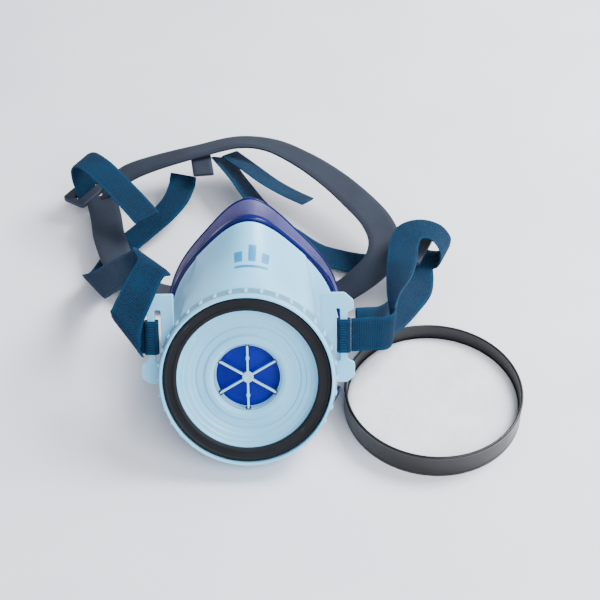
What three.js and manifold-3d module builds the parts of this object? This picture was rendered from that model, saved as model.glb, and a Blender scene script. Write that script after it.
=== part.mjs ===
// Half-mask respirator with its head harness and its loose filter holder, in millimetres, +Z up.
// The mask stands on its chin and cheeks with the nose up, the harness lies behind it, and the
// filter holder lies on the table at its right.
import * as THREE from 'three';
import { mergeVertices } from 'three/addons/utils/BufferGeometryUtils.js';
import Module from 'manifold-3d';

const wasm = await Module();
wasm.setup();

// ---- driving dimensions -------------------------------------------------------------------
const GAP = 0.3;                 // clearance between touching pieces
const CENTRE_X = 8.8;             // layout centre, moved to the origin at the end
const CENTRE_Y = 102.4;
const SEAT_HEIGHT = 45;          // height of the filter seat's centre above the table
const SEAT_TILT = 57;            // degrees that the seat faces down from straight up
const FLANGE_R = 45;             // outer radius of the filter flange
const LIP_R = 43.2;              // bright lip round the gasket
const GASKET_IN = 35.3;
const GASKET_OUT = 41.8;
const GASKET_THICK = 3;
const OPENING_R = 17;            // inhalation opening
const RIB_COUNT = 36;
const CUP_SEAT_R = 38;           // soft cup where it meets the flange
const CUP_SEAT_DEPTH = 9;
const CUP_WALL = 2.4;
const SHELL_WALL = 2;
const SHELL_START = -10;         // the hard shell covers the top, between these angles
const SHELL_END = 190;
const SHELL_REACH = 0.9;         // share of the way from the seat to the face rim
const BEAD = 2.6;
const LIP_WIDTH = 2.2;            // the lip stands this far out, and LIP_PEAK more at the nose
const LIP_PEAK = 4;
const LIP_THICK = 1.2;
const STRAP_W = 17;
const STRAP_T = 1.4;
const CRADLE_W = 19;
const CRADLE_T = 2.6;
const LUG_THICK = 3;
const LUG_DEPTH = 14.5;          // middle of the lug plate behind the gasket face
const LOOP_Y = 19.5;             // middle of the strap loop along the lug
const BAR_IN = 46.7;             // the split bar that the strap loop is hooked on
const BAR_OUT = 50.3;
const RING_X = 96;               // filter holder's centre in the layout
const RING_Y = 21.4;
const RING_R = 47;
const RING_HEIGHT = 14.5;
const RING_WALL = 1.5;
const FELT_TOP = 6;
const EXHALE_ANGLE = -30;        // the two exhalation valves sit low on the cheeks
const EXHALE_AT = 0.5;
const EXHALE_R = 7.8;

// Face rim, from the chin up the right side to the nose, every 30 degrees.
const RIM_HALF = [
  [0, 8, 4], [26, 16, 4], [43, 38, 4], [49, 68, 4.6], [42.3, 84, 33], [24.5, 84, 62], [0, 82, 83],
];

// ---- colours ------------------------------------------------------------------------------
const finish = (color, roughness, metalness = 0) =>
  new THREE.MeshStandardMaterial({ color, roughness, metalness });
const SHELL_BLUE = finish(0xc4e0ee, 0.38);
const RUBBER_BLACK = finish(0x2c2c34, 0.7);
const FLAP_BLUE = finish(0x0036a0, 0.2);
const CUP_NAVY = finish(0x0a1a60, 0.3);
const LIP_PURPLE = finish(0x6b668f, 0.35);
const STRAP_TEAL = finish(0x0d4b66, 0.85);
const CRADLE_GREY = finish(0x58647a, 0.6);
const RING_BLACK = finish(0x3a3a42, 0.45);
const FELT_WHITE = finish(0xe9ebef, 0.95);

// ---- mesh helpers -------------------------------------------------------------------------
const rad = THREE.MathUtils.degToRad;
const vec = (x, y, z) => new THREE.Vector3(x, y, z);

function signedVolume(points, index) {
  let volume = 0;
  for (let i = 0; i < index.length; i += 3) {
    const [a, b, c] = [points[index[i]], points[index[i + 1]], points[index[i + 2]]];
    volume += a.dot(vec(0, 0, 0).crossVectors(b, c)) / 6;
  }
  return volume;
}

function closedGeometry(points, index) {
  const faces = signedVolume(points, index) < 0 ? index.slice().reverse() : index;
  const geometry = new THREE.BufferGeometry();
  geometry.setAttribute('position', new THREE.Float32BufferAttribute(points.flatMap((p) => p.toArray()), 3));
  geometry.setIndex(faces);
  return geometry;
}

// Joins rings of points into one closed skin. Open lofts get strip caps, or fan caps.
function loft(rings, { closed = false, fan = false } = {}) {
  const m = rings[0].length;
  const points = rings.flat();
  const index = [];
  const last = closed ? rings.length : rings.length - 1;
  for (let i = 0; i < last; i += 1) {
    const next = (i + 1) % rings.length;
    for (let j = 0; j < m; j += 1) {
      const [a, b] = [i * m + j, i * m + ((j + 1) % m)];
      const [c, d] = [next * m + j, next * m + ((j + 1) % m)];
      index.push(a, b, d, a, d, c);
    }
  }
  if (!closed) {
    for (const [start, turned] of [[0, true], [(rings.length - 1) * m, false]]) {
      const cap = [];
      if (fan) {
        const middle = points.slice(start, start + m)
          .reduce((s, p) => s.add(p), vec(0, 0, 0)).divideScalar(m);
        points.push(middle);
        for (let j = 0; j < m; j += 1) cap.push(points.length - 1, start + j, start + ((j + 1) % m));
      } else {
        for (let j = 0; j < m / 2 - 1; j += 1) {
          const [a, b, c, d] = [j, j + 1, m - 2 - j, m - 1 - j].map((k) => k + start);
          cap.push(a, b, c, a, c, d);
        }
      }
      index.push(...(turned ? cap.reverse() : cap));
    }
  }
  return closedGeometry(points, index);
}

function toSolid(geometry) {
  const bare = geometry.clone();
  bare.deleteAttribute('normal');
  bare.deleteAttribute('uv');
  const merged = mergeVertices(bare, 1e-4);
  const place = merged.getAttribute('position');
  const points = Array.from({ length: place.count }, (_, i) => vec(0, 0, 0).fromBufferAttribute(place, i));
  const kept = [];
  const all = Array.from(merged.index.array);
  for (let i = 0; i < all.length; i += 3) {
    const [a, b, c] = all.slice(i, i + 3);
    if (a !== b && b !== c && a !== c) kept.push(a, b, c);
  }
  const faces = signedVolume(points, kept) < 0 ? kept.reverse() : kept;
  return new wasm.Manifold(new wasm.Mesh({
    numProp: 3,
    vertProperties: new Float32Array(place.array),
    triVerts: new Uint32Array(faces),
  }));
}

function fromSolid(solid) {
  const mesh = solid.getMesh();
  const geometry = new THREE.BufferGeometry();
  geometry.setAttribute('position', new THREE.BufferAttribute(mesh.vertProperties, mesh.numProp));
  geometry.setIndex(new THREE.BufferAttribute(mesh.triVerts, 1));
  return geometry;
}

const join = (...geometries) => geometries.map(toSolid).reduce((a, b) => a.add(b));
const cut = (solid, ...geometries) => geometries.map(toSolid).reduce((a, b) => a.subtract(b), solid);

function node(name, geometry, material, parent) {
  geometry.computeVertexNormals();
  const mesh = new THREE.Mesh(geometry, material);
  mesh.name = name;
  parent.add(mesh);
  return mesh;
}

// A profile of [radius, height] points turned about Z.
function lathe(profile, segments = 64) {
  const closed = [...profile, profile[0]].map(([r, z]) => new THREE.Vector2(r, z));
  const geometry = new THREE.LatheGeometry(closed, segments);
  geometry.rotateX(Math.PI / 2);
  return fromSolid(toSolid(geometry));
}

const disc = (radius, low, high, segments = 48) =>
  lathe([[0, low], [radius, low], [radius, high], [0, high]], segments);
const tube = (inner, outer, low, high, segments = 48) =>
  lathe([[inner, low], [outer, low], [outer, high], [inner, high]], segments);

function plate(outline, thickness, hole) {
  const shape = new THREE.Shape(outline.map(([x, y]) => new THREE.Vector2(x, y)));
  if (hole) shape.holes.push(new THREE.Path(hole.map(([x, y]) => new THREE.Vector2(x, y))));
  const geometry = new THREE.ExtrudeGeometry(shape, { depth: thickness, bevelEnabled: false });
  return geometry.translate(0, 0, -thickness / 2);
}

const rectangle = (w, h) => [[-w / 2, -h / 2], [w / 2, -h / 2], [w / 2, h / 2], [-w / 2, h / 2]];

// ---- the mask's curved skin ---------------------------------------------------------------
const SEAT = vec(0, 0, SEAT_HEIGHT);
const FACING = vec(0, -Math.sin(rad(SEAT_TILT)), Math.cos(rad(SEAT_TILT)));
const BACK = vec(0, 1, 0);

function radial(angle) {
  const [c, s] = [Math.cos(rad(angle)), Math.sin(rad(angle))];
  return vec(c, s * Math.cos(rad(SEAT_TILT)), s * Math.sin(rad(SEAT_TILT)));
}

const rimRight = RIM_HALF.map(([x, y, z]) => vec(x, y, z));
const rimLeft = RIM_HALF.slice(1, -1).reverse().map(([x, y, z]) => vec(-x, y, z));
const rimCurve = new THREE.CatmullRomCurve3([...rimRight, ...rimLeft], true, 'centripetal');
const rimPoint = (angle) => rimCurve.getPoint((((angle + 90) % 360) + 360) % 360 / 360);

function reach(angle) {
  const start = SEAT.clone().addScaledVector(radial(angle), CUP_SEAT_R)
    .addScaledVector(FACING, -CUP_SEAT_DEPTH);
  return { start, end: rimPoint(angle), length: start.distanceTo(rimPoint(angle)) };
}

// Outer face of the soft cup: angle 0 is the right side and 90 the nose; s runs seat to face.
function skin(angle, s) {
  const { start, end, length } = reach(angle);
  const outward = vec(Math.cos(rad(angle)), 0, Math.sin(rad(angle)));
  const leave = BACK.clone().addScaledVector(radial(angle), 0.25).normalize();
  const arrive = BACK.clone().addScaledVector(outward, 0.3).normalize();
  return new THREE.CubicBezierCurve3(
    start, start.clone().addScaledVector(leave, length * 0.33),
    end.clone().addScaledVector(arrive, -length * 0.3), end).getPoint(s);
}

function skinNormal(angle, s) {
  const along = skin(angle, Math.min(s + 0.01, 1)).sub(skin(angle, Math.max(s - 0.01, 0)));
  const around = skin(angle + 1, s).sub(skin(angle - 1, s));
  return along.cross(around).normalize();
}

const offsetSkin = (angle, s, distance) =>
  skin(angle, s).addScaledVector(skinNormal(angle, s), distance);
const range = (count, from, to) =>
  Array.from({ length: count + 1 }, (_, i) => from + (to - from) * i / count);

// One wall of the mask between two offsets, over an arc of angles.
function wall(angles, steps, inner, outer, closed) {
  const rings = angles.map((angle) => {
    const stations = steps(angle);
    const out = stations.map((s) => offsetSkin(angle, s, outer(s)));
    const back = stations.map((s) => offsetSkin(angle, s, inner(s))).reverse();
    return [...out, ...back];
  });
  return loft(rings, { closed });
}

const cupStart = (angle) => 3.2 / reach(angle).length;
const beadHeight = (s) => BEAD * THREE.MathUtils.smoothstep(s, 0.915, 0.94);

function cup() {
  const stations = (angle) => [...range(6, cupStart(angle), 0.905), 0.925, 0.945, 1];
  const body = wall(range(47, 0, 352.5), stations, () => -CUP_WALL, beadHeight, true);
  const holes = exhaleFrames().map((frame) => disc(6.4, -9, 9, 32).applyMatrix4(frame));
  return fromSolid(cut(toSolid(body), ...holes));
}

function exhaleFrames() {
  return [EXHALE_ANGLE, 180 - EXHALE_ANGLE].map((angle) => {
    const turn = new THREE.Quaternion().setFromUnitVectors(vec(0, 0, 1), skinNormal(angle, EXHALE_AT));
    return new THREE.Matrix4().compose(skin(angle, EXHALE_AT), turn, vec(1, 1, 1));
  });
}

function faceLip() {
  const rings = range(47, 0, 352.5).map((angle) => {
    const rise = Math.max(Math.sin(rad(angle)), 0);
    const outward = vec(Math.cos(rad(angle)) * 0.75, 1, rise * 0.75).normalize();
    const across = skinNormal(angle, 0.99);
    const root = offsetSkin(angle, 1, -CUP_WALL / 2).addScaledVector(BACK, GAP + LIP_THICK / 2);
    const shelf = [0, 0.35, 0.7, 1].map((k) => root.clone()
      .addScaledVector(outward, k * (LIP_WIDTH + LIP_PEAK * rise ** 10 + CUP_WALL))
      .addScaledVector(BACK, 1.2 * k * k));
    const up = outward.clone().cross(vec(0, 0, 0).crossVectors(across, outward)).normalize();
    const side = up.lengthSq() > 0.5 ? up : across;
    return [...shelf.map((p) => p.clone().addScaledVector(side, LIP_THICK / 2)),
      ...shelf.map((p) => p.clone().addScaledVector(side, -LIP_THICK / 2)).reverse()];
  });
  return loft(rings, { closed: true });
}

// ---- hard front shell ---------------------------------------------------------------------
const LUG_OUTLINE = [
  [37, -4.5], [50, -4.5], [54, -1.5], [54, 5.5], [BAR_OUT, 7.5], [BAR_OUT, 17.5], [BAR_IN, 17.5],
  [BAR_IN, 6.5], [43.5, 6.5], [43.5, 33.5], [BAR_IN, 33.5], [BAR_IN, 22], [BAR_OUT, 22], [BAR_OUT, 31.5],
  [53.5, 33], [53.5, 37.5], [49, 41.5], [37, 41.5],
];

function flange() {
  const rim = lathe([[36.2, -11], [FLANGE_R, -11], [FLANGE_R, -7.5], [43.8, -1], [LIP_R, 2], [42.2, 2],
    [42.2, -7.6], [36.2, -7.6]], 64);
  const ribs = range(RIB_COUNT - 1, 0, 360 - 360 / RIB_COUNT).map((angle) =>
    new THREE.BoxGeometry(1.4, 1.6, 7).translate(FLANGE_R - 0.5, 0, -6.6).rotateZ(rad(angle)));
  return join(rim, ...ribs);
}

function frontShell(seatFrame) {
  const hood = wall(range(32, SHELL_START, SHELL_END), () => range(8, 0, SHELL_REACH),
    () => -0.6, () => GAP + SHELL_WALL, false);
  const lugs = [1, -1].map((side) => plate(LUG_OUTLINE.map(([x, y]) => [side * x, y]), LUG_THICK)
    .translate(0, 0, -LUG_DEPTH));
  const intoSeat = seatFrame.clone().invert();
  const core = loft(range(8, 0, 1).map((s) =>
    range(47, 0, 352.5).map((angle) => offsetSkin(angle, s, GAP + 0.2))), { fan: true });
  const ringed = flange().add(toSolid(hood.applyMatrix4(intoSeat))).add(join(...lugs));
  const trimmed = cut(ringed, core.applyMatrix4(intoSeat));
  return fromSolid(trimmed.decompose().sort((a, b) => b.volume() - a.volume())[0]);
}

// ---- valves and seat ----------------------------------------------------------------------
function seatPlate() {
  return lathe([[41.9, -7.3], [41.9, -3.3], [34.8, -3.3], [34.6, -4.6], [29.6, -4.9], [29.3, -6],
    [22.2, -6.6], [20.8, -5.6], [18.6, -5.6], [OPENING_R, -6.8], [OPENING_R, -12.2], [15.6, -12.2],
    [15.6, -13.2], [19, -13.2], [19, -8.8], [35.9, -8.8], [35.9, -7.3]], 56);
}

function inletGrille() {
  const clip = tube(15.5, OPENING_R - GAP, -9.4, -7.4, 48);
  const hub = disc(3.6, -8.6, -6.6, 32);
  const stud = disc(1.4, -17.6, -8, 20);
  const head = disc(2.6, -17.8, -17, 20);
  const spokes = range(5, 30, 330).map((angle) =>
    new THREE.BoxGeometry(13.6, 1.3, 1.6).translate(9.4, 0, -7.9).rotateZ(rad(angle)));
  return fromSolid(join(clip, hub, stud, head, ...spokes));
}

function exhaleValve(frame, side, maskFrame) {
  const group = new THREE.Group();
  group.applyMatrix4(frame);
  maskFrame.add(group);
  node(`exhale_seat_${side}`, lathe([[4.4, -3.4], [6, -3.4], [6, 1.7], [EXHALE_R, 1.7], [EXHALE_R, 2.9],
    [4.4, 2.9]], 32), SHELL_BLUE, group);
  node(`exhale_flap_${side}`, disc(5.6, 3.2, 3.9, 32), FLAP_BLUE, group);
  const roof = lathe([[0, 5.8], [6.4, 5.8], [6.4, 3.2], [EXHALE_R, 3.2], [EXHALE_R, 6.6], [7.2, 7],
    [0, 7]], 32);
  const vents = [45, 135, 225, 315].map((angle) =>
    new THREE.BoxGeometry(3, 4.4, 1.4).translate(EXHALE_R - 0.6, 0, 4.7).rotateZ(rad(angle)));
  node(`exhale_cover_${side}`, fromSolid(cut(toSolid(roof), ...vents)), CUP_NAVY, group);
}

// ---- flat straps --------------------------------------------------------------------------
// A route is a list of [x, y, z, wx, wy, wz]: the strap's middle and the direction of its width.
function ribbon(route, width, thickness, steps = 6) {
  const middle = new THREE.CatmullRomCurve3(route.map(([x, y, z]) => vec(x, y, z)), false, 'centripetal');
  const across = route.map((p) => vec(p[3], p[4], p[5]).normalize());
  const count = (route.length - 1) * steps;
  const rings = range(count, 0, 1).map((t) => {
    const place = t * (route.length - 1);
    const i = Math.min(Math.floor(place), route.length - 2);
    const tangent = middle.getTangent(t);
    const side = across[i].clone().lerp(across[i + 1], place - i);
    const up = tangent.cross(side.normalize());
    side.multiplyScalar(1 / Math.max(up.length(), 0.6));
    up.normalize().multiplyScalar(thickness / 2);
    const at = middle.getPoint(t);
    const [a, b] = [width / 2, -width / 2].map((w) => at.clone().addScaledVector(side, w));
    return [a.clone().add(up), b.clone().add(up), b.clone().sub(up), a.clone().sub(up)];
  });
  return loft(rings);
}

const STRAPS = {
  strap_left_front: [[-53.6, 22.8, 53.5, 0, 0.545, 0.839], [-55.5, 22.7, 53.6, -0.1, 0.54, 0.83],
    [-60.2, 21.2, 56, -0.58, 0.48, 0.65], [-60.7, 21.2, 61, -0.62, 0.47, 0.62],
    [-58.8, 26, 67, -0.72, 0.48, 0.5], [-55.2, 31.8, 72.6, -0.8, 0.5, 0.3],
    [-51.3, 39.5, 77.3, -0.82, 0.55, 0.15], [-48, 47, 80, -0.75, 0.66, 0.05],
    [-49.5, 53.5, 78.5, -0.71, 0.7, 0], [-54, 56.5, 74, -0.64, 0.77, 0.05],
    [-61, 59.5, 67.5, -0.48, 0.86, 0.18], [-68.5, 67, 57.5, -0.35, 0.91, 0.23],
    [-77.5, 78.5, 43, -0.38, 0.9, 0.2], [-86, 88.5, 29.5, -0.52, 0.84, 0.12],
    [-92, 96, 20.5, -0.62, 0.78, 0.05], [-94, 103, 15, -0.65, 0.76, 0]],
  strap_left_rear: [[-93.8, 106.5, 12.3, -0.65, 0.76, 0], [-91.5, 117, 8, -0.68, 0.73, 0],
    [-88, 130, 6.5, -0.69, 0.72, 0], [-82, 146, 6.5, -0.62, 0.78, 0], [-72, 157.5, 8.5, -0.58, 0.81, 0.02],
    [-61.5, 167.5, 12, -0.62, 0.78, 0.02], [-53.5, 179.5, 14.5, -0.8, 0.6, 0],
    [-50, 193, 15.5, -0.9, 0.44, 0], [-49.5, 205, 15.5, -0.95, 0.3, 0]],
  strap_upper_left: [[-111, 194, 6, 0.53, 0.85, 0], [-111, 194, 16, 0.53, 0.85, 0],
    [-112.5, 195, 26, 0.52, 0.85, 0], [-112, 195, 34.5, 0.5, 0.87, 0], [-107, 191, 39.5, 0.52, 0.85, 0],
    [-98, 182, 40.5, 0.6, 0.8, 0], [-86, 168, 38.5, 0.62, 0.78, 0], [-74, 154, 35, 0.7, 0.71, 0],
    [-65, 143.5, 31.5, 0.8, 0.6, 0]],
  strap_rear: [[-25.5, 219, 18.5, 0.65, 0.5, -0.45], [-14, 197, 19, 0.65, 0.52, -0.55],
    [-3.5, 179.5, 16, 0.68, 0.52, -0.5], [8, 160, 14, 0.75, 0.6, -0.25], [20, 147, 11.5, 0.72, 0.69, 0],
    [36, 136.5, 7.5, 0.5, 0.86, 0], [50, 133.5, 5, 0.25, 0.97, 0], [61, 131.5, 4, 0.1, 0.99, 0],
    [71, 130, 4, 0.1, 0.99, 0]],
  strap_tail: [[-20, 218.5, 22, 0.5, 0.78, -0.35], [-6, 200, 24.5, 0.6, 0.68, -0.4],
    [7.5, 183.5, 25.5, 0.5, 0.75, -0.4], [19.5, 171.5, 26.5, 0.4, 0.82, -0.4],
    [30.5, 162, 27.5, 0.4, 0.82, -0.4]],
  strap_right_front: [[53.6, 22.8, 53.5, 0, 0.545, 0.839], [57, 23, 53.6, 0, 0.55, 0.83],
    [63, 23.7, 53.3, 0.02, 0.56, 0.82], [69, 24.2, 52.8, 0.06, 0.56, 0.82],
    [73.3, 27.6, 52.1, 0.08, 0.45, 0.88], [74.5, 37, 51, 0.08, 0.12, 0.99],
    [76, 51, 49.5, 0.22, -0.35, 0.9], [79.5, 72, 44.5, 0.6, -0.45, 0.62],
    [83.5, 98, 38.5, 0.93, -0.33, 0.15], [85.5, 112, 36.5, 0.93, -0.36, 0.05],
    [89.5, 121.5, 36.5, 0.7, -0.71, 0], [97.5, 125.5, 35.5, 0.2, -0.98, 0],
    [106, 124, 32.5, -0.25, -0.97, 0], [110.5, 120.5, 26, -0.41, -0.91, 0],
    [108.5, 118, 19.5, -0.41, -0.91, 0], [101, 119.5, 16.8, -0.41, -0.91, 0],
    [94.5, 122, 17.8, -0.41, -0.91, 0], [92, 123, 22, -0.41, -0.91, 0], [92, 123, 28, -0.41, -0.91, 0]],
  strap_right_inner: [[55, 29.5, 54.2, 0, 0.62, 0.78], [61, 34.2, 50, -0.04, 0.68, 0.73],
    [68.5, 44.5, 40.5, -0.1, 0.8, 0.58], [77, 60.5, 29.8, -0.2, 0.9, 0.38],
    [86, 76, 25.8, -0.42, 0.84, 0.33], [92, 89, 22.5, -0.75, 0.62, 0.2], [94, 101, 19.5, -0.95, 0.3, 0.1],
    [94.5, 111.5, 17.5, -0.98, 0.18, 0]],
};

const CRADLE_BAND = [[-99.5, 194.2, 13.2, 0, 1, 0], [-84, 202.5, 20, -0.39, 0.92, -0.1],
  [-69, 206.5, 24, -0.25, 0.97, -0.15], [-39.5, 214, 28, -0.25, 0.95, -0.25],
  [-13.5, 221, 29.5, -0.08, 0.97, -0.25], [6.5, 217.5, 29.5, 0.38, 0.9, -0.25],
  [26, 204.5, 28.5, 0.62, 0.76, -0.2], [44.5, 186.5, 27, 0.75, 0.66, -0.1],
  [60.5, 165.5, 25.5, 0.83, 0.56, 0], [71.5, 146.5, 24.5, 0.92, 0.38, 0], [75.5, 129, 23.5, 1, 0.02, 0],
  [72, 114.5, 20.8, 0.84, -0.54, 0], [60, 105, 14.5, 0.43, -0.9, 0], [46, 102, 6.5, 0.03, -1, 0],
  [28, 104, 2.2, -0.09, -1, 0], [0, 106, 2, 0, -1, 0], [-34, 104, 2, 0, -1, 0],
  [-61, 105, 6, -0.33, -0.94, 0], [-79, 120, 13, -0.8, -0.6, 0], [-89, 142, 16, -0.95, -0.32, 0],
  [-95, 167, 13, -0.97, -0.25, 0], [-101, 188, 12, -0.96, -0.27, 0]];
const GUIDE_TAB = [[-38, 211, 27, 1, 0.1, 0], [-36.5, 202, 26, 1, 0.1, 0], [-35, 193, 25, 1, 0.1, 0]];

function headCradle() {
  const tabs = [[-111, 194, 12, 58], [92, 123, 24, 66]].map(([x, y, z, turn]) =>
    plate(rectangle(27, 17), LUG_THICK, rectangle(19.5, 4)).rotateZ(rad(turn)).translate(x, y, z));
  return fromSolid(join(ribbon(CRADLE_BAND, CRADLE_W, CRADLE_T, 4), ribbon(GUIDE_TAB, 13, 2.2, 2), ...tabs));
}

// The strap's sewn end loop round the split bar of one lug.
function lugLoop(side) {
  const outline = (grow) => {
    const [x0, x1] = [BAR_IN - GAP - grow, BAR_OUT + GAP + grow];
    const [z0, z1] = [-LUG_DEPTH - LUG_THICK / 2 - GAP - grow, -LUG_DEPTH + LUG_THICK / 2 + GAP + grow];
    const r = 0.5 + grow;
    const corners = [[x1 - r, z1 - r, 0], [x0 + r, z1 - r, 90], [x0 + r, z0 + r, 180], [x1 - r, z0 + r, 270]];
    return corners.flatMap(([x, z, from]) => range(3, from, from + 90)
      .map((angle) => [x + r * Math.cos(rad(angle)), z + r * Math.sin(rad(angle))]));
  };
  return plate(outline(STRAP_T), STRAP_W, outline(0)).rotateX(Math.PI / 2)
    .translate(0, LOOP_Y, 0).rotateY(side < 0 ? Math.PI : 0)
    .translate(0, 0, side < 0 ? -2 * LUG_DEPTH : 0);
}

// ---- filter holder ------------------------------------------------------------------------
function filterRing() {
  const hoop = lathe([[41, 0], [RING_R, 0], [RING_R, 14], [46.6, RING_HEIGHT], [45.9, RING_HEIGHT],
    [RING_R - RING_WALL, 14.1], [RING_R - RING_WALL, 1.5], [41, 1.5]], 80);
  const nick = new THREE.BoxGeometry(4, 5, 1.6).translate(RING_R - 0.8, 0, RING_HEIGHT);
  return fromSolid(cut(toSolid(hoop), nick));
}

// ---- assembly -----------------------------------------------------------------------------
const respirator = new THREE.Group();
const layout = new THREE.Group();
layout.position.set(-CENTRE_X, -CENTRE_Y, 0);
respirator.add(layout);

const seat = new THREE.Group();
seat.position.copy(SEAT);
seat.rotation.x = rad(SEAT_TILT);
layout.add(seat);
seat.updateMatrix();

node('front_shell', frontShell(seat.matrix), SHELL_BLUE, seat);
node('seat_plate', seatPlate(), SHELL_BLUE, seat);
node('seat_gasket', tube(GASKET_IN, GASKET_OUT, -GASKET_THICK, 0, 64), RUBBER_BLACK, seat);
node('inlet_grille', inletGrille(), SHELL_BLUE, seat);
node('inhale_flap', tube(1.9, OPENING_R - 0.4, -14.3, -13.5, 48), FLAP_BLUE, seat);
node('facepiece_cup', cup(), CUP_NAVY, layout);
node('face_seal_lip', faceLip(), LIP_PURPLE, layout);
exhaleFrames().forEach((frame, i) => exhaleValve(frame, ['right', 'left'][i], layout));
node('strap_loop_right', lugLoop(1), STRAP_TEAL, seat);
node('strap_loop_left', lugLoop(-1), STRAP_TEAL, seat);

node('head_cradle', headCradle(), CRADLE_GREY, layout);
for (const [name, route] of Object.entries(STRAPS)) {
  node(name, ribbon(route, STRAP_W, STRAP_T), STRAP_TEAL, layout);
}

const holder = new THREE.Group();
holder.position.set(RING_X, RING_Y, 0);
layout.add(holder);
node('filter_ring', filterRing(), RING_BLACK, holder);
node('filter_felt', disc(RING_R - RING_WALL - GAP, 1.8, FELT_TOP, 64), FELT_WHITE, holder);

export default respirator;
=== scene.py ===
"""Half-mask respirator: its looks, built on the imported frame, in millimetres until a mesh is made."""
import math
import bpy
from mathutils import Matrix, Vector


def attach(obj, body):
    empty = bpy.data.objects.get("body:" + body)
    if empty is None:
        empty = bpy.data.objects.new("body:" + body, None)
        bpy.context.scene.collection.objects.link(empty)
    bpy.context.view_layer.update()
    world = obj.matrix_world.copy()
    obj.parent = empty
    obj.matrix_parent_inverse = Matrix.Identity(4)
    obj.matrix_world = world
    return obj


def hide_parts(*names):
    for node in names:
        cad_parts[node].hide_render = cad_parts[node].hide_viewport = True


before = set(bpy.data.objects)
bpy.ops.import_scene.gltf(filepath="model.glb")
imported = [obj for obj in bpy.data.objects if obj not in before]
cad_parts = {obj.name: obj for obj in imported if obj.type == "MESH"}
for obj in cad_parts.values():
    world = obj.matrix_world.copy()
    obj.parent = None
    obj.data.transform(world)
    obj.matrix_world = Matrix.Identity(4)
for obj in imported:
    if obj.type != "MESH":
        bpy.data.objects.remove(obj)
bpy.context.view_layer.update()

MM = 0.001
CENTRE = Vector((8.8, 102.4, 0))    # the layout's centre, as in the CAD
SEAT_HEIGHT = 45
SEAT_TILT = 57
FLANGE_R = 45
LIP_R = 43.2
GASKET_IN = 35.3
GASKET_OUT = 41.8
OPENING_R = 17
RIB_COUNT = 36
CUP_SEAT_R = 38
CUP_SEAT_DEPTH = 9
CUP_WALL = 2.4
SHELL_WALL = 2
GAP = 0.3
SHELL_START = -10
SHELL_END = 190
SHELL_REACH = 0.9
BEAD = 2.6
LIP_WIDTH = 2.2
LIP_PEAK = 4
LIP_THICK = 1.2
STRAP_W = 17
STRAP_T = 1.4
CRADLE_W = 19
CRADLE_T = 2.6
LUG_THICK = 3
LUG_DEPTH = 14.5
LOOP_Y = 19.5
BAR_IN = 46.7
BAR_OUT = 50.3
RING_CENTRE = Vector((96, 21.4, 0))
RING_R = 47
RING_HEIGHT = 14.5
RING_WALL = 1.5
FELT_TOP = 6
EXHALE_ANGLE = -30
EXHALE_AT = 0.5
EXHALE_R = 7.8
RIM_HALF = [(0, 8, 4), (26, 16, 4), (43, 38, 4), (49, 68, 4.6), (42.3, 84, 33), (24.5, 84, 62), (0, 82, 83)]

# ---- camera: in the layout's millimetres, aimed by yaw, pitch and roll -----------------------
CAMERA_AT = Vector((34.0, -379.3, 464.9))
CAMERA_YAW = -1.02
CAMERA_PITCH = 43.87
CAMERA_ROLL = -1.38
CAMERA_LENS = 68.4


def rad(degrees):
    return math.radians(degrees)


def spread(count, low, high):
    return [low + (high - low) * i / count for i in range(count + 1)]


def add_camera():
    forward = Vector((math.sin(rad(CAMERA_YAW)) * math.cos(rad(CAMERA_PITCH)),
                      math.cos(rad(CAMERA_YAW)) * math.cos(rad(CAMERA_PITCH)), -math.sin(rad(CAMERA_PITCH))))
    right = forward.cross(Vector((0, 0, 1))).normalized()
    up = right.cross(forward)
    turn = Matrix((right, up, -forward)).transposed().to_4x4() @ Matrix.Rotation(rad(CAMERA_ROLL), 4, "Z")
    data = bpy.data.cameras.new("photo_camera")
    data.lens = CAMERA_LENS
    data.clip_start = 0.01
    camera = bpy.data.objects.new("photo_camera", data)
    bpy.context.scene.collection.objects.link(camera)
    camera.matrix_world = Matrix.Translation((CAMERA_AT - CENTRE) * MM) @ turn
    bpy.context.scene.camera = camera


# ---- materials ---------------------------------------------------------------------------------
def rgb(red, green, blue):
    """A colour seen on a screen, from 0 to 255, as linear light."""
    def linear(value):
        value /= 255
        return value / 12.92 if value <= 0.04045 else ((value + 0.055) / 1.055) ** 2.4
    return (linear(red), linear(green), linear(blue), 1.0)


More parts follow.
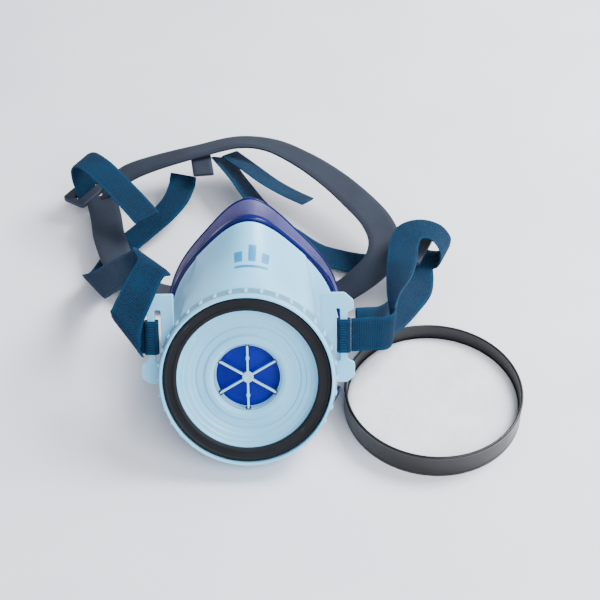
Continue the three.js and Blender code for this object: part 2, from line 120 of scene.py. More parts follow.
class Nodes:
    """A small wrapper that adds shader nodes and links them."""

    def __init__(self, name):
        self.material = bpy.data.materials.new(name)
        self.material.use_nodes = True
        self.tree = self.material.node_tree
        self.shader = self.tree.nodes["Principled BSDF"]

    def add(self, kind, **values):
        node = self.tree.nodes.new(kind)
        for key, value in values.items():
            if key in node.inputs:
                node.inputs[key].default_value = value
            else:
                setattr(node, key, value)
        return node

    def link(self, source, target):
        self.tree.links.new(source, target)

    def place(self, space="Object"):
        return self.add("ShaderNodeTexCoord").outputs[space]

    def noise(self, scale, detail=3.0, space="Object"):
        node = self.add("ShaderNodeTexNoise", Scale=scale, Detail=detail)
        self.link(self.place(space), node.inputs["Vector"])
        return node.outputs["Fac"]

    def ramp(self, source, low, high, start=(0, 0, 0, 1), end=(1, 1, 1, 1)):
        node = self.add("ShaderNodeValToRGB")
        node.color_ramp.elements[0].position = low
        node.color_ramp.elements[1].position = high
        node.color_ramp.elements[0].color = start
        node.color_ramp.elements[1].color = end
        self.link(source, node.inputs["Fac"])
        return node.outputs["Color"]

    def math(self, operation, first, second=None):
        node = self.add("ShaderNodeMath", operation=operation)
        for socket, value in zip(node.inputs, (first, second)):
            if value is None:
                continue
            if isinstance(value, (int, float)):
                socket.default_value = value
            else:
                self.link(value, socket)
        return node.outputs[0]

    def mix(self, share, first, second):
        node = self.add("ShaderNodeMix", data_type="RGBA")
        for socket, value in zip((node.inputs[0], node.inputs[6], node.inputs[7]), (share, first, second)):
            if isinstance(value, (int, float, tuple)):
                socket.default_value = value
            else:
                self.link(value, socket)
        return node.outputs[2]

    def bump(self, height, distance, strength=1.0, under=None):
        node = self.add("ShaderNodeBump", Strength=strength, Distance=distance)
        self.link(height, node.inputs["Height"])
        if under is not None:
            self.link(under, node.inputs["Normal"])
        return node.outputs["Normal"]

    def finish(self, colour, roughness, normal, **sockets):
        for value, name in ((colour, "Base Color"), (roughness, "Roughness"), (normal, "Normal")):
            if isinstance(value, (int, float, tuple)):
                self.shader.inputs[name].default_value = value
            elif value is not None:
                self.link(value, self.shader.inputs[name])
        for name, value in sockets.items():
            self.shader.inputs[name.replace("_", " ")].default_value = value
        return self.material


def moulded(name, light, dark, rough_low, rough_high, grain=2600, grain_depth=0.00002, **sockets):
    """Moulded plastic or rubber: cloudy colour, uneven gloss, fine grain and a painted highlight on convex
    edges.
    """
    n = Nodes(name)
    cloud = n.ramp(n.noise(38, 4), 0.35, 0.68, dark, light)
    # Painted highlight: convex edges, found by pointiness, are mixed halfway towards a paler tone.
    edge_highlight = n.ramp(n.add("ShaderNodeNewGeometry").outputs["Pointiness"], 0.52, 0.62)
    highlight_tone = tuple(min(1.0, c * 1.25 + 0.03) for c in light[:3]) + (1.0,)
    colour = n.mix(n.math("MULTIPLY", edge_highlight, 0.5), cloud, highlight_tone)
    rough = n.add("ShaderNodeMapRange")
    n.link(n.noise(120, 5), rough.inputs["Value"])
    rough.inputs["To Min"].default_value = rough_low
    rough.inputs["To Max"].default_value = rough_high
    wave = n.bump(n.noise(60, 2), 0.0003, 0.25)
    normal = n.bump(n.noise(grain, 2), grain_depth, 0.6, wave)
    return n.finish(colour, rough.outputs[0], normal, **sockets)


def woven(name, dark, light, edge):
    """Narrow elastic: ribs across and a fine weave along, with a painted highlight along both edges; UV is in
    strap widths.
    """
    n = Nodes(name)
    parts = n.add("ShaderNodeSeparateXYZ")
    n.link(n.place("UV"), parts.inputs[0])
    along, across = parts.outputs["X"], parts.outputs["Y"]
    ribs = n.math("SINE", n.math("MULTIPLY", along, 2 * math.pi * 15))
    threads = n.math("SINE", n.math("MULTIPLY", across, 2 * math.pi * 13))
    weave = n.math("ADD", n.math("MULTIPLY", ribs, threads), n.math("MULTIPLY", ribs, 0.6))
    side = n.math("ABSOLUTE", n.math("SUBTRACT", across, 0.5))
    # Painted highlight: the outer strips of the width are mixed towards the paler edge colour.
    strap_edge_highlight = n.ramp(side, 0.40, 0.44)
    fuzz = n.noise(900, 4)
    body = n.mix(n.ramp(n.math("ADD", n.math("MULTIPLY", weave, 0.3), fuzz), 0.3, 0.95), dark, light)
    stain = n.mix(n.math("MULTIPLY", n.ramp(n.noise(45, 4), 0.45, 0.75), 0.35), body, light)
    colour = n.mix(n.math("MULTIPLY", strap_edge_highlight, 0.3), stain, edge)
    normal = n.bump(weave, 0.00018, 0.7, n.bump(fuzz, 0.0001, 0.5))
    return n.finish(colour, 0.82, normal, Specular_IOR_Level=0.2, Sheen_Weight=0.05, Sheen_Roughness=0.5,
                    Sheen_Tint=edge)


def felted(name, light, dark):
    """Pressed filter fibre."""
    n = Nodes(name)
    cloud = n.ramp(n.noise(70, 6), 0.3, 0.7, dark, light)
    fibre = n.add("ShaderNodeTexNoise", Scale=1400.0, Detail=6.0, Distortion=1.6)
    n.link(n.place(), fibre.inputs["Vector"])
    normal = n.bump(fibre.outputs["Fac"], 0.00035, 0.8, n.bump(n.noise(160, 4), 0.0009, 0.5))
    return n.finish(cloud, 0.95, normal, Sheen_Weight=0.25)


SHELL = moulded("shell_plastic", rgb(140, 212, 246), rgb(126, 203, 241), 0.30, 0.42, Coat_Weight=0.1)
# Painted shade: a darker, greyer copy of the shell plastic for the recessed ribbed band between flange and
# hood.
SKIRT_SHADE = moulded("skirt_painted_shade", rgb(104, 158, 182), rgb(92, 146, 170), 0.38, 0.5)
GASKET = moulded("gasket_rubber", rgb(20, 22, 27), rgb(12, 13, 17), 0.55, 0.78, 3200, 0.00004,
                 Specular_IOR_Level=0.25)
FLAP = moulded("valve_rubber", rgb(0, 26, 156), rgb(0, 14, 122), 0.2, 0.32, 900, 0.00001,
               Specular_IOR_Level=0.3)
NAVY = moulded("navy_rubber", rgb(2, 14, 96), rgb(1, 7, 68), 0.14, 0.26, 1500, 0.00001,
               Specular_IOR_Level=0.22)
PURPLE = moulded("lip_rubber", rgb(80, 80, 128), rgb(62, 61, 106), 0.3, 0.42, 1800, 0.00001,
                 Specular_IOR_Level=0.35, Subsurface_Weight=0.2, Subsurface_Scale=0.004)
CRADLE = moulded("cradle_rubber", rgb(38, 46, 60), rgb(30, 36, 49), 0.5, 0.66, 2200, 0.00004,
                 Specular_IOR_Level=0.3)
RING = moulded("ring_plastic", rgb(18, 18, 21), rgb(11, 11, 14), 0.22, 0.36, 1900, 0.00002,
               Specular_IOR_Level=0.4)
GRILLE = moulded("grille_plastic", rgb(160, 212, 238), rgb(146, 200, 230), 0.28, 0.4, Coat_Weight=0.2)
MARK = moulded("mark_print", rgb(30, 140, 196), rgb(22, 124, 184), 0.3, 0.4)
STRAP = woven("strap_elastic", rgb(0, 22, 42), rgb(0, 54, 86), rgb(2, 64, 98))
FELT = felted("filter_felt", rgb(246, 247, 250), rgb(228, 231, 237))


# ---- mesh helpers ------------------------------------------------------------------------------
SEAT_FRAME = Matrix.Translation((0, 0, SEAT_HEIGHT)) @ Matrix.Rotation(rad(SEAT_TILT), 4, "X")


def piece(name, points, faces, material, body, replaces=(), sharp=40, uvs=None):
    """A mesh from points in the layout's millimetres, which rides on a body."""
    mesh = bpy.data.meshes.new(name)
    mesh.from_pydata([(Vector(p) - CENTRE) * MM for p in points], [], faces)
    if uvs:
        layer = mesh.uv_layers.new(name="UVMap")
        for loop in mesh.loops:
            layer.data[loop.index].uv = uvs[loop.vertex_index]
    mesh.materials.append(material)
    mesh.validate()
    mesh.shade_smooth()
    mesh.set_sharp_from_angle(angle=rad(sharp))
    obj = bpy.data.objects.new(name, mesh)
    bpy.context.scene.collection.objects.link(obj)
    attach(obj, body)
    if replaces:
        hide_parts(*([replaces] if isinstance(replaces, str) else replaces))
    return obj


def loft(rings, closed=False):
    """Points and faces of a skin through rings of points, capped at its ends unless closed."""
    m = len(rings[0])
    points = [p for ring in rings for p in ring]
    faces = []
    for i in range(len(rings) if closed else len(rings) - 1):
        k = (i + 1) % len(rings)
        faces += [(i * m + j, i * m + (j + 1) % m, k * m + (j + 1) % m, k * m + j) for j in range(m)]
    if not closed:
        last = (len(rings) - 1) * m
        faces += [tuple(reversed(range(m))), tuple(range(last, last + m))]
    return points, faces


def joined(skins):
    """Several skins as one."""
    points, faces = [], []
    for more, sides in skins:
        faces += [tuple(i + len(points) for i in face) for face in sides]
        points += more
    return points, faces


def turned(profile, segments=128, frame_matrix=SEAT_FRAME):
    """A closed profile of (radius, height) turned about a frame's Z."""
    rings = []
    for angle in spread(segments, 0, 360)[:-1]:
        c, s = math.cos(rad(angle)), math.sin(rad(angle))
        rings.append([frame_matrix @ Vector((r * c, r * s, z)) for r, z in profile])
    return loft(rings, closed=True)


def rounded(profile, radius, steps=4):
    """The profile with each corner turned into a small arc."""
    result = []
    for i, corner in enumerate(profile):
        here = Vector(corner)
        before = Vector(profile[i - 1]) - here
        after = Vector(profile[(i + 1) % len(profile)]) - here
        reach = min(radius, before.length * 0.45, after.length * 0.45)
        start, end = here + before.normalized() * reach, here + after.normalized() * reach
        for t in spread(steps, 0, 1):
            result.append(tuple(start * (1 - t) ** 2 + here * 2 * t * (1 - t) + end * t ** 2))
    return result


def smooth_path(points, steps):
    """Points along the centripetal Catmull-Rom curve through a route, with steps to each span."""
    route = [Vector(p) for p in points]
    route = [route[0] * 2 - route[1]] + route + [route[-1] * 2 - route[-2]]
    result = []
    for i in range(1, len(route) - 2):
        p0, p1, p2, p3 = route[i - 1:i + 3]
        knots = [0.0]
        for a, b in ((p0, p1), (p1, p2), (p2, p3)):
            knots.append(knots[-1] + max((b - a).length, 1e-6) ** 0.5)
        t0, t1, t2, t3 = knots
        for k in range(steps + (i == len(route) - 3)):
            t = t1 + (t2 - t1) * k / steps
            a1 = p0 * ((t1 - t) / (t1 - t0)) + p1 * ((t - t0) / (t1 - t0))
            a2 = p1 * ((t2 - t) / (t2 - t1)) + p2 * ((t - t1) / (t2 - t1))
            a3 = p2 * ((t3 - t) / (t3 - t2)) + p3 * ((t - t2) / (t3 - t2))
            b1 = a1 * ((t2 - t) / (t2 - t0)) + a2 * ((t - t0) / (t2 - t0))
            b2 = a2 * ((t3 - t) / (t3 - t1)) + a3 * ((t - t1) / (t3 - t1))
            result.append(b1 * ((t2 - t) / (t2 - t1)) + b2 * ((t - t1) / (t2 - t1)))
    return result


# ---- the mask's curved skin --------------------------------------------------------------------
SEAT = Vector((0, 0, SEAT_HEIGHT))
FACING = Vector((0, -math.sin(rad(SEAT_TILT)), math.cos(rad(SEAT_TILT))))
RIM_STEPS = 24
rim_knots = [Vector(p) for p in RIM_HALF] + [Vector((-x, y, z)) for x, y, z in reversed(RIM_HALF[1:-1])]
rim_loop = smooth_path([rim_knots[-1]] + rim_knots + rim_knots[:2], RIM_STEPS)[RIM_STEPS:-RIM_STEPS - 1]


def rim_point(angle):
    place = ((angle + 90) % 360) / 360 * len(rim_loop)
    i = int(place) % len(rim_loop)
    return rim_loop[i].lerp(rim_loop[(i + 1) % len(rim_loop)], place - int(place))


def radial(angle):
    c, s = math.cos(rad(angle)), math.sin(rad(angle))
    return Vector((c, s * math.cos(rad(SEAT_TILT)), s * math.sin(rad(SEAT_TILT))))


def skin(angle, s):
    """Outer face of the soft cup: angle 0 is the right side and 90 the nose; s runs seat to face."""
    start = SEAT + radial(angle) * CUP_SEAT_R - FACING * CUP_SEAT_DEPTH
    end = rim_point(angle)
    length = (end - start).length
    leave = (Vector((0, 1, 0)) + radial(angle) * 0.25).normalized()
    outward = Vector((math.cos(rad(angle)), 0, math.sin(rad(angle))))
    arrive = (Vector((0, 1, 0)) + outward * 0.3).normalized()
    b, c, r = start + leave * length * 0.33, end - arrive * length * 0.3, 1 - s
    return start * r ** 3 + b * 3 * r * r * s + c * 3 * r * s * s + end * s ** 3


def skin_normal(angle, s):
    along = skin(angle, min(s + 0.01, 1)) - skin(angle, max(s - 0.01, 0))
    around = skin(angle + 1, s) - skin(angle - 1, s)
    return along.cross(around).normalized()


def off_skin(angle, s, distance):
    return skin(angle, s) + skin_normal(angle, s) * distance


def ease(value, low, high):
    t = min(max((value - low) / (high - low), 0), 1)
    return t * t * (3 - 2 * t)


# ---- hard front shell --------------------------------------------------------------------------
LUG_OUTLINE = [(37, -4.5), (50, -4.5), (54, -1.5), (54, 5.5), (BAR_OUT, 7.5), (BAR_OUT, 17.5),
               (BAR_IN, 17.5), (BAR_IN, 6.5), (43.5, 6.5), (43.5, 33.5), (BAR_IN, 33.5), (BAR_IN, 22),
               (BAR_OUT, 22), (BAR_OUT, 31.5), (53.5, 33), (53.5, 37.5), (49, 41.5), (37, 41.5)]


def hood():
    rings = []
    for angle in spread(150, SHELL_START, SHELL_END):
        stations = spread(22, 0, SHELL_REACH - 0.004) + [SHELL_REACH]
        last = len(stations) - 1
        outer = []
        for i, s in enumerate(stations):
            crease = 58 - 26 * s
            flank = 1 - 0.45 * ease(abs(angle - 90), crease, crease + 4)
            outer.append(off_skin(angle, s, GAP + SHELL_WALL * (0.6 if i == last else flank)))
        inner = [off_skin(angle, s, GAP + 0.2) for s in reversed(stations)]
        rings.append(outer + inner)
    piece("front_shell_hood", *loft(rings), SHELL, "mask", "front_shell", 50)


def flange():
    profile = [(36.4, -11), (FLANGE_R, -11), (FLANGE_R, -7.5), (43.9, -1), (43.5, 1.2), (LIP_R, 2), (42.2, 2),
               (42.2, -7.6), (36.4, -7.6)]
    piece("front_shell_flange", *turned(rounded(profile, 0.35), 180), SHELL, "mask", "front_shell", 30)
    # A thin sheet over the flange's outer wall carries the painted shade of the ribbed groove; the pale ribs
    # sit on it.
    skirt = [(FLANGE_R - 1, -10.6), (FLANGE_R + 0.1, -10.6), (FLANGE_R + 0.1, -7.4), (44.2, -1.6), (43, -1.6)]
    piece("front_shell_skirt_shade", *turned(rounded(skirt, 0.3, 3), 180), SKIRT_SHADE, "mask", "front_shell", 40)
    outline = rounded([(-0.9, -4.4), (0.9, -4.4), (0.9, 4.2), (-0.9, 4.2)], 0.5, 3)
    ribs = []
    for angle in spread(RIB_COUNT, 0, 360)[:-1]:
        turn = SEAT_FRAME @ Matrix.Rotation(rad(angle), 4, "Z")
        rings = [[turn @ Vector((FLANGE_R - 0.9 + depth, x * pinch, z * pinch - 6.6)) for x, z in outline]
                 for depth, pinch in ((-0.4, 1), (0.85, 1), (1.15, 0.75))]
        ribs.append(loft(rings))
    piece("front_shell_ribs", *joined(ribs), SHELL, "mask", "front_shell", 50)


def flat_plate(name, outline, thickness, place, material, body, replaces, bevel=0.35, hole=None):
    """A flat outline with an optional hole, given a thickness and softened edges."""
    curve = bpy.data.curves.new(name, "CURVE")
    curve.dimensions = "2D"
    curve.fill_mode = "BOTH"
    curve.extrude = (thickness / 2 - bevel) * MM
    curve.bevel_depth = bevel * MM
    curve.offset = -bevel * MM
    curve.bevel_resolution = 2
    for loop in [outline] + ([hole] if hole else []):
        spline = curve.splines.new("POLY")
        spline.points.add(len(loop) - 1)
        for point, (x, y) in zip(spline.points, loop):
            point.co = (x * MM, y * MM, 0, 1)
        spline.use_cyclic_u = True
    holder = bpy.data.objects.new(name, curve)
    bpy.context.scene.collection.objects.link(holder)
    mesh = bpy.data.meshes.new_from_object(holder)
    bpy.data.objects.remove(holder)
    mesh.transform(Matrix.Translation(-CENTRE * MM) @ Matrix.Diagonal((MM, MM, MM, 1)) @ place
                   @ Matrix.Diagonal((1 / MM, 1 / MM, 1 / MM, 1)))
    mesh.materials.clear()
    mesh.materials.append(material)
    mesh.shade_smooth()
    mesh.set_sharp_from_angle(angle=rad(40))
    obj = bpy.data.objects.new(name, mesh)
    bpy.context.scene.collection.objects.link(obj)
    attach(obj, body)
    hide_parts(replaces)
    return obj


def lugs():
    for name, side in (("right", 1), ("left", -1)):
        outline = rounded([(side * x, y) for x, y in LUG_OUTLINE], 0.9, 3)
        place = SEAT_FRAME @ Matrix.Translation((0, 0, -LUG_DEPTH))
        flat_plate(f"front_shell_lug_{name}", outline, LUG_THICK, place, SHELL, "mask", "front_shell")


def nose_mark():
    """A plain printed mark with no lettering: a short bar under three small strokes."""
    for k, (low, high, start, end) in enumerate([(77, 98, 0.36, 0.39), (77, 81.5, 0.43, 0.55),
                                                 (85, 89.5, 0.43, 0.62), (93, 98, 0.43, 0.55)]):
        rings = [[off_skin(a, s, GAP + SHELL_WALL + 0.05) for s in spread(6, start, end)]
                 + [off_skin(a, s, GAP + SHELL_WALL - 0.2) for s in reversed(spread(6, start, end))]
                 for a in spread(8, low, high)]
        piece(f"nose_mark_{k + 1}", *loft(rings), MARK, "mask")


# ---- seat, gasket and valves -------------------------------------------------------------------
def seat():
    dish = [(41.9, -7.3), (41.9, -3.3), (34.9, -3.3), (34.5, -4.6), (32.4, -4.8), (32.1, -5.3),
            (29.7, -5.4), (29.3, -6.1), (27.0, -6.2), (26.8, -7.1), (25.9, -7.1), (25.7, -6.5),
            (22.3, -6.8), (21.2, -5.7), (18.9, -5.6), (OPENING_R, -6.9), (OPENING_R, -12.2), (16.2, -12.2),
            (16.2, -13.2), (19, -13.2), (19, -8.8), (35.9, -8.8), (35.9, -7.3)]
    piece("seat_dish", *turned(rounded(dish, 0.4, 3), 160), SHELL, "mask", "seat_plate", 30)
    ring = [(GASKET_IN, -3), (GASKET_OUT, -3), (GASKET_OUT, -0.5), (41.2, 0), (40.3, 0), (39.9, -0.35),
            (37.4, -0.35), (37.0, 0), (36.0, 0), (GASKET_IN, -0.6)]
    piece("gasket_ring", *turned(rounded(ring, 0.3, 3), 160), GASKET, "mask", "seat_gasket", 40)


def grille():
    clip = [(16.2, -9.4), (OPENING_R - GAP, -9.4), (OPENING_R - GAP, -7.4), (16.4, -7.4)]
    piece("grille_clip", *turned(rounded(clip, 0.25, 3), 96), GRILLE, "mask", "inlet_grille", 40)
    hub = [(0.01, -8.8), (2.9, -8.8), (2.9, -7.2), (2.5, -6.6), (1.9, -6.5), (1.6, -6.8), (0.01, -6.9)]
    piece("grille_hub", *turned(rounded(hub, 0.3, 3), 64), GRILLE, "mask", "inlet_grille", 40)
    stud = [(0.01, -17.8), (2.6, -17.6), (2.6, -17), (1.4, -16.6), (1.4, -8.4), (0.01, -8.4)]
    piece("grille_stud", *turned(rounded(stud, 0.2, 3), 48), GRILLE, "mask", "inlet_grille", 40)
    spoke = rounded([(-0.65, -8.7), (0.65, -8.7), (0.45, -7.1), (-0.45, -7.1)], 0.25, 2)
    # Painted shade: small black blocks at the spoke ends stand in for the shaded notches in the clip ring.
    notch_shade_outline = rounded([(-1.3, -8.9), (1.3, -8.9), (1.3, -7.3), (-1.3, -7.3)], 0.3, 2)
    spokes, notch_shades = [], []
    for angle in spread(5, 30, 330):
        turn = SEAT_FRAME @ Matrix.Rotation(rad(angle), 4, "Z")
        knob = 1.6 if abs(math.sin(rad(angle))) > 0.9 else 1
        widths = [(2.5, 1), (8.4, 1), (9.0, knob), (9.2, knob), (10.0, knob), (10.2, knob),
                  (10.8, 1), (16.2, 1)]
        spokes.append(loft([[turn @ Vector((r, w * wide, z)) for w, z in spoke] for r, wide in widths]))
        notch_shades.append(loft([[turn @ Vector((r, w, z)) for w, z in notch_shade_outline] for r in (15.4, 16.6)]))
    piece("grille_spokes", *joined(spokes), GRILLE, "mask", "inlet_grille", 40)
    piece("grille_notch_shades", *joined(notch_shades), GASKET, "mask", "inlet_grille", 40)


def flap():
    profile = [(1.9, -14.3), (16.5, -14.3), (16.6, -13.9), (16.2, -13.5), (13, -13.6), (6, -13.2),
               (2.4, -13.0), (1.9, -13.2)]
    piece("inhale_flap_disc", *turned(rounded(profile, 0.2, 3), 128), FLAP, "inhale_valve", "inhale_flap", 60)


def exhale_valves():
    for name, angle in (("right", EXHALE_ANGLE), ("left", 180 - EXHALE_ANGLE)):
        turn = Vector((0, 0, 1)).rotation_difference(skin_normal(angle, EXHALE_AT)).to_matrix().to_4x4()
        place = Matrix.Translation(skin(angle, EXHALE_AT)) @ turn
        base = [(4.4, -3.4), (6, -3.4), (6, 1.7), (EXHALE_R, 1.7), (EXHALE_R, 2.9), (4.4, 2.9)]
        disc = [(0.01, 3.2), (5.6, 3.2), (5.6, 3.7), (0.01, 3.9)]
        roof = [(0.01, 5.8), (6.4, 5.8), (6.4, 3.2), (EXHALE_R, 3.2), (EXHALE_R, 6.4), (7.0, 7),
                (3.2, 7.05), (2.8, 6.7), (0.01, 6.7)]
        for part, profile, soften, material, body, node in (
                ("base", base, 0.3, SHELL, "mask", "exhale_seat"),
                ("disc", disc, 0.2, FLAP, f"exhale_valve_{name}", "exhale_flap"),
                ("cap", roof, 0.4, NAVY, "mask", "exhale_cover")):
            points, faces = turned(rounded(profile, soften, 3), 64, place)
            piece(f"exhale_{part}_{name}", points, faces, material, body, f"{node}_{name}")


# ---- soft cup and face seal --------------------------------------------------------------------
def cup():
    rings = []
    for angle in spread(144, 0, 360)[:-1]:
        first = 3.2 / (rim_point(angle) - SEAT - radial(angle) * CUP_SEAT_R + FACING * CUP_SEAT_DEPTH).length
        stations = spread(16, first, 0.905) + [0.915, 0.925, 0.935, 0.95, 0.97, 0.99, 1.0]
        outer = [off_skin(angle, s, BEAD * ease(s, 0.908, 0.935) * (1 - 0.35 * ease(s, 0.96, 1.0)))
                 for s in stations]
        inner = [off_skin(angle, s, -CUP_WALL) for s in reversed(stations)]
        rings.append(outer + inner)
    piece("cup_moulding", *loft(rings, closed=True), NAVY, "mask", "facepiece_cup", 60)


def face_lip():
    rings, edge = [], []
    for angle in spread(144, 0, 360)[:-1]:
        rise = max(math.sin(rad(angle)), 0)
        outward = Vector((math.cos(rad(angle)) * 0.75, 1, rise * 0.75)).normalized()
        across = skin_normal(angle, 0.99)
        root = off_skin(angle, 1, -CUP_WALL / 2) + Vector((0, GAP + LIP_THICK / 2, 0))
        reach = LIP_WIDTH + LIP_PEAK * rise ** 10 + CUP_WALL
        shelf = [root + outward * k * reach + Vector((0, 1.2 * k * k, 0)) for k in spread(8, 0, 1)]
        up = outward.cross(across.cross(outward)).normalized()
        side = up if up.length > 0.5 else across
        rings.append([p + side * LIP_THICK * 0.5 * (1 - 0.4 * k) for k, p in zip(spread(8, 0, 1), shelf)]
                     + [p - side * LIP_THICK * 0.5 * (1 - 0.4 * k)
                        for k, p in reversed(list(zip(spread(8, 0, 1), shelf)))])
        edge.append((shelf[-1], outward, side))
    piece("lip_skirt", *loft(rings, closed=True), PURPLE, "mask", "face_seal_lip", 60)
    turns = spread(8, 0, 360)[:-1]
    bead = [[p + outward * 0.7 * math.cos(rad(a)) + side * 0.7 * math.sin(rad(a)) for a in turns]
            for p, outward, side in edge]
    piece("lip_edge_bead", *loft(bead, closed=True), NAVY, "mask", "face_seal_lip", 80)


# ---- straps and cradle -------------------------------------------------------------------------
# A route is a list of [x, y, z, wx, wy, wz]: the strap's middle and the direction of its width.
STRAPS = {
    "strap_left_front": [[-52.2, 22.8, 53.5, 0, 0.545, 0.839], [-55.5, 22.7, 53.6, -0.1, 0.54, 0.83],
        [-60.2, 21.2, 56, -0.58, 0.48, 0.65], [-60.7, 21.2, 61, -0.62, 0.47, 0.62],
        [-58.8, 26, 67, -0.72, 0.48, 0.5], [-55.2, 31.8, 72.6, -0.8, 0.5, 0.3],
        [-51.3, 39.5, 77.3, -0.82, 0.55, 0.15], [-48, 47, 80, -0.75, 0.66, 0.05],
        [-49.5, 53.5, 78.5, -0.71, 0.7, 0], [-54, 56.5, 74, -0.64, 0.77, 0.05],
        [-61, 59.5, 67.5, -0.48, 0.86, 0.18], [-68.5, 67, 57.5, -0.35, 0.91, 0.23],
        [-77.5, 78.5, 43, -0.38, 0.9, 0.2], [-86, 88.5, 29.5, -0.52, 0.84, 0.12],
        [-92, 96, 20.5, -0.62, 0.78, 0.05], [-94, 103, 15, -0.65, 0.76, 0]],
    "strap_left_rear": [[-93.9, 103.6, 14.5, -0.65, 0.76, 0],
        [-93.8, 106.5, 12.3, -0.65, 0.76, 0], [-91.5, 117, 8, -0.68, 0.73, 0],
        [-88, 130, 6.5, -0.69, 0.72, 0], [-82, 146, 6.5, -0.62, 0.78, 0],
        [-72, 157.5, 8.5, -0.58, 0.81, 0.02], [-61.5, 167.5, 12, -0.62, 0.78, 0.02],
        [-53.5, 179.5, 14.5, -0.8, 0.6, 0], [-50, 193, 15.5, -0.9, 0.44, 0],
        [-49.5, 205, 15.5, -0.95, 0.3, 0]],
    "strap_upper_left": [[-111, 194, 6, 0.53, 0.85, 0], [-111, 194, 16, 0.53, 0.85, 0],
        [-112.5, 195, 26, 0.52, 0.85, 0], [-112, 195, 34.5, 0.5, 0.87, 0],
        [-107, 191, 39.5, 0.52, 0.85, 0], [-98, 182, 40.5, 0.6, 0.8, 0], [-86, 168, 38.5, 0.62, 0.78, 0],
        [-74, 154, 35, 0.7, 0.71, 0], [-65, 143.5, 31.5, 0.8, 0.6, 0]],
    "strap_rear": [[-25.5, 219, 18.5, 0.65, 0.5, -0.45], [-14, 197, 19, 0.65, 0.52, -0.55],
        [-3.5, 179.5, 16, 0.68, 0.52, -0.5], [8, 160, 14, 0.75, 0.6, -0.25],
        [20, 147, 11.5, 0.72, 0.69, 0], [36, 136.5, 7.5, 0.5, 0.86, 0], [50, 133.5, 5, 0.25, 0.97, 0],
        [61, 131.5, 4, 0.1, 0.99, 0], [71, 130, 4, 0.1, 0.99, 0]],
    "strap_tail": [[-20, 218.5, 22, 0.5, 0.78, -0.35], [-6, 200, 24.5, 0.6, 0.68, -0.4],
        [7.5, 183.5, 25.5, 0.5, 0.75, -0.4], [19.5, 171.5, 26.5, 0.4, 0.82, -0.4],
        [30.5, 162, 27.5, 0.4, 0.82, -0.4]],
    "strap_right_front": [[52.2, 22.8, 53.5, 0, 0.545, 0.839], [57, 23, 53.6, 0, 0.55, 0.83],
        [63, 23.7, 53.3, 0.02, 0.56, 0.82], [69, 24.2, 52.8, 0.06, 0.56, 0.82],
        [73.3, 27.6, 52.1, 0.08, 0.45, 0.88], [74.5, 37, 51, 0.08, 0.12, 0.99],
        [76, 51, 49.5, 0.22, -0.35, 0.9], [79.5, 72, 44.5, 0.6, -0.45, 0.62],
        [83.5, 98, 38.5, 0.93, -0.33, 0.15], [85.5, 112, 36.5, 0.93, -0.36, 0.05],
        [89.5, 121.5, 36.5, 0.7, -0.71, 0], [97.5, 125.5, 35.5, 0.2, -0.98, 0],
        [106, 124, 32.5, -0.25, -0.97, 0], [110.5, 120.5, 26, -0.41, -0.91, 0],
        [108.5, 118, 19.5, -0.41, -0.91, 0], [101, 119.5, 16.8, -0.41, -0.91, 0],
        [94.5, 122, 17.8, -0.41, -0.91, 0], [92, 123, 22, -0.41, -0.91, 0], [92, 123, 28, -0.41, -0.91, 0]],
    "strap_right_inner": [[55, 29.5, 54.2, 0, 0.62, 0.78], [61, 34.2, 50, -0.04, 0.68, 0.73],
        [68.5, 44.5, 40.5, -0.1, 0.8, 0.58], [77, 60.5, 29.8, -0.2, 0.9, 0.38],
        [86, 76, 25.8, -0.42, 0.84, 0.33], [92, 89, 22.5, -0.75, 0.62, 0.2],
        [94, 101, 19.5, -0.95, 0.3, 0.1], [94.5, 111.5, 17.5, -0.98, 0.18, 0]],
}
CRADLE_BAND = [[-99.5, 194.2, 13.2, 0, 1, 0], [-84, 202.5, 20, -0.39, 0.92, -0.1],
    [-69, 206.5, 24, -0.25, 0.97, -0.15], [-39.5, 214, 28, -0.25, 0.95, -0.25],
    [-13.5, 221, 29.5, -0.08, 0.97, -0.25], [6.5, 217.5, 29.5, 0.38, 0.9, -0.25],
    [26, 204.5, 28.5, 0.62, 0.76, -0.2], [44.5, 186.5, 27, 0.75, 0.66, -0.1],
    [60.5, 165.5, 25.5, 0.83, 0.56, 0], [71.5, 146.5, 24.5, 0.92, 0.38, 0], [75.5, 129, 23.5, 1, 0.02, 0],
    [72, 114.5, 20.8, 0.84, -0.54, 0], [60, 105, 14.5, 0.43, -0.9, 0], [46, 102, 6.5, 0.03, -1, 0],
    [28, 104, 2.2, -0.09, -1, 0], [0, 106, 2, 0, -1, 0], [-34, 104, 2, 0, -1, 0],
    [-61, 105, 6, -0.33, -0.94, 0], [-79, 120, 13, -0.8, -0.6, 0], [-89, 142, 16, -0.95, -0.32, 0],
    [-95, 167, 13, -0.97, -0.25, 0], [-101, 188, 12, -0.96, -0.27, 0]]
GUIDE_TAB = [[-38, 211, 27, 1, 0.1, 0], [-36.5, 202, 26, 1, 0.1, 0], [-35, 193, 25, 1, 0.1, 0]]


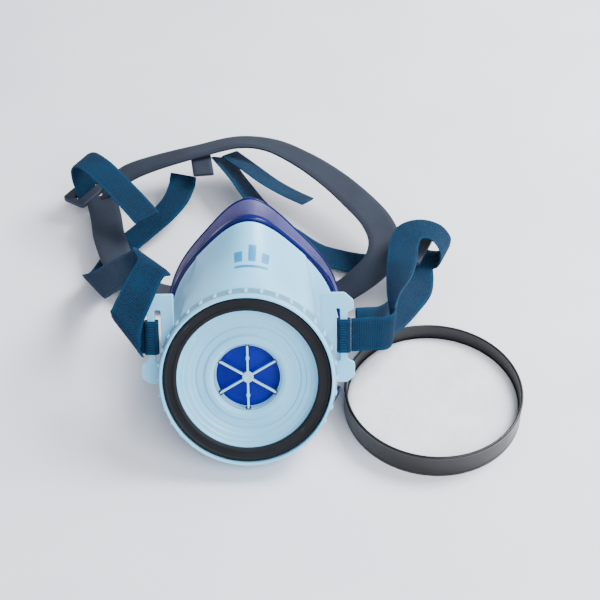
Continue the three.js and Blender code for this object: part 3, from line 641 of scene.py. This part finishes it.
def ribbon(route, width, thickness, steps=14, across=10):
    """Rings of a flat band with rounded edges, its UVs in band widths, and its length in millimetres."""
    path = smooth_path([p[:3] for p in route], steps)
    sides = [Vector(p[3:]).normalized() for p in route]
    rings, uvs, run = [], [], 0.0
    for k, at in enumerate(path):
        place = min(k / steps, len(route) - 1.000001)
        i = int(place)
        tangent = (path[min(k + 1, len(path) - 1)] - path[max(k - 1, 0)]).normalized()
        side = sides[i].lerp(sides[i + 1], place - i).normalized()
        up = tangent.cross(side)
        side /= max(up.length, 0.6)
        up.normalize()
        run += (at - path[k - 1]).length if k else 0
        shares = spread(across, -1, 1)
        edge = [(1 - 0.55 * ease(abs(w), 0.86, 1.0)) * thickness / 2 for w in shares]
        rings.append([at + side * (w * width / 2) + up * e for w, e in zip(shares, edge)]
                     + [at + side * (w * width / 2) - up * e for w, e in reversed(list(zip(shares, edge)))])
        uvs += [(run / width, 0.5 + w / 2) for w in shares + shares[::-1]]
    return loft(rings), uvs, run


def straps():
    for name, route in STRAPS.items():
        (points, faces), uvs, length = ribbon(route, STRAP_W, STRAP_T)
        strap = piece(f"{name}_webbing", points, faces, STRAP, "harness", name, 60, uvs)


def lug_loops():
    for name, side in (("right", 1), ("left", -1)):
        x0, x1 = BAR_IN - GAP - STRAP_T / 2, BAR_OUT + GAP + STRAP_T / 2
        z0, z1 = (-LUG_DEPTH + s * (LUG_THICK / 2 + GAP + STRAP_T / 2) for s in (-1, 1))
        corners = rounded([(x0, z0), (x1, z0), (x1, z1), (x0, z1)], 1.2, 6)
        rings, uvs, run = [], [], 0.0
        for k, (x, z) in enumerate(corners):
            ahead, back = Vector(corners[(k + 1) % len(corners)]), Vector(corners[k - 1])
            out = (ahead - back).normalized().orthogonal()
            shares = spread(8, -1, 1)
            faces_of_strap = ((STRAP_T / 2, shares), (-STRAP_T / 2, shares[::-1]))
            ring = [(x + out.x * h, w, z + out.y * h) for h, ws in faces_of_strap for w in ws]
            rings.append([SEAT_FRAME @ Vector((side * a, LOOP_Y + w * STRAP_W / 2, c)) for a, w, c in ring])
            run += (ahead - Vector((x, z))).length
            uvs += [(run / STRAP_W, 0.5 + w / 2) for _, w, _ in ring]
        points, faces = loft(rings, closed=True)
        loop = piece(f"lug_loop_{name}", points, faces, STRAP, "mask", f"strap_loop_{name}", 60, uvs)


def cradle():
    for name, route, width in (("band", CRADLE_BAND, CRADLE_W), ("guide", GUIDE_TAB, 13)):
        (points, faces), _, _ = ribbon(route, width, CRADLE_T if name != "guide" else 2.2)
        piece(f"cradle_{name}", points, faces, CRADLE, "harness", "head_cradle", 60)
    hole = rounded([(-9.75, -2), (9.75, -2), (9.75, 2), (-9.75, 2)], 0.8, 3)
    outline = rounded([(-13.5, -8.5), (13.5, -8.5), (13.5, 8.5), (-13.5, 8.5)], 3, 6)
    for name, x, y, z, turn in (("left", -111, 194, 12, 58), ("right", 92, 123, 24, 66)):
        place = Matrix.Translation((x, y, z)) @ Matrix.Rotation(rad(turn), 4, "Z")
        flat_plate(f"cradle_tab_{name}", outline, LUG_THICK, place, CRADLE, "harness", "head_cradle",
                   0.5, hole)


# ---- filter holder -----------------------------------------------------------------------------
def filter_holder():
    place = Matrix.Translation(RING_CENTRE)
    bore = RING_R - RING_WALL
    hoop = [(41, 0), (RING_R, 0), (RING_R, 1.6), (46.85, 2.2), (46.85, 12.8), (RING_R, 13.4), (RING_R, 14),
            (46.6, RING_HEIGHT), (45.9, RING_HEIGHT), (bore, 14.1), (bore, 1.5), (41, 1.5)]
    piece("holder_hoop", *turned(rounded(hoop, 0.3, 3), 200, place), RING, "filter_holder", "filter_ring", 30)
    outer = bore - GAP
    profile = [(0.01, 1.8), (outer, 1.8), (outer, 5.2), (outer - 0.7, FELT_TOP - 0.1), (outer - 3, FELT_TOP),
               (30, FELT_TOP + 0.05), (15, FELT_TOP + 0.1), (0.01, FELT_TOP + 0.1)]
    felt = piece("felt_pad", *turned(profile, 128, place), FELT, "felt_disc", "filter_felt", 60)


# ---- stage -------------------------------------------------------------------------------------
def stage():
    size = 3.0
    mesh = bpy.data.meshes.new("table")
    corners = [(-size, -size, 0), (size, -size, 0), (size, size, 0), (-size, size, 0)]
    mesh.from_pydata(corners, [], [(0, 1, 2, 3)])
    table = bpy.data.objects.new("table", mesh)
    bpy.context.scene.collection.objects.link(table)
    n = Nodes("table_top")
    colour = n.ramp(n.noise(9, 4), 0.3, 0.7, rgb(232, 234, 241), rgb(240, 242, 247))
    mesh.materials.append(n.finish(colour, 0.85, n.bump(n.noise(1500, 3), 0.0002, 0.4)))
    world = bpy.data.worlds.new("studio")
    world.use_nodes = True
    world.node_tree.nodes["Background"].inputs["Color"].default_value = rgb(226, 232, 244)
    world.node_tree.nodes["Background"].inputs["Strength"].default_value = 0.85
    bpy.context.scene.world = world
    lamps = (("key_light", (0.75, 0.35, 0.95), 30, 0.6), ("fill_light", (0.6, -0.85, 0.85), 20, 1.0))
    for name, place, power, size in lamps:
        data = bpy.data.lights.new(name, "AREA")
        data.energy = power
        data.size = size
        light = bpy.data.objects.new(name, data)
        bpy.context.scene.collection.objects.link(light)
        light.location = place
        light.rotation_euler = (-Vector(place)).to_track_quat("-Z", "Y").to_euler()


add_camera()
hood()
flange()
lugs()
nose_mark()
seat()
grille()
flap()
exhale_valves()
cup()
face_lip()
straps()
lug_loops()
cradle()
filter_holder()
stage()
